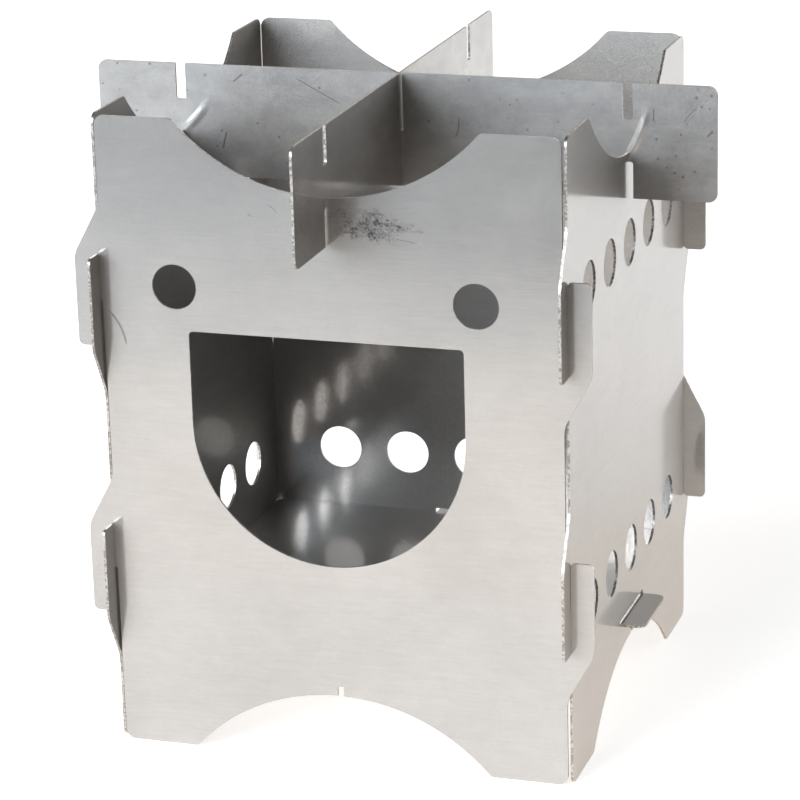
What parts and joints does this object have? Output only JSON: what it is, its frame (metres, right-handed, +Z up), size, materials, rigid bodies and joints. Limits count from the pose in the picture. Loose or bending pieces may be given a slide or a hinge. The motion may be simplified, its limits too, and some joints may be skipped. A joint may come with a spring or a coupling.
{
  "type": "hobo stove",
  "caption": "Flat-pack wood burning stove: square box of hooked sheet steel walls with a feed opening, a floor plate and two crossed pot supports on top.",
  "frame": {"origin": "centre of the stove's footprint, on the ground that the walls stand on", "axes": "+Z up, -Y out of the front wall with the feed opening, +X to the right as seen from the front"},
  "size_m": [0.201, 0.201, 0.2],
  "materials": {
    "stove_walls": "satin",
    "floor_plate": "satin",
    "pot_supports": "satin"
  },
  "bodies": {
    "stove": {"front_wall": "stove_walls", "right_wall": "stove_walls", "back_wall": "stove_walls", "left_wall": "stove_walls", "floor_plate": "floor_plate"},
    "lower_support": {"lower_pot_support": "pot_supports"},
    "upper_support": {"upper_pot_support": "pot_supports"}
  },
  "joints": [
    {"name": "lift_lower", "type": "slide", "parent": "stove", "child": "lower_support", "axis": [0, 0, 1], "range_m": [0, 0.06]},
    {"name": "lift_upper", "type": "slide", "parent": "lower_support", "child": "upper_support", "axis": [0, 0, 1], "range_m": [0, 0.06]}
  ]
}
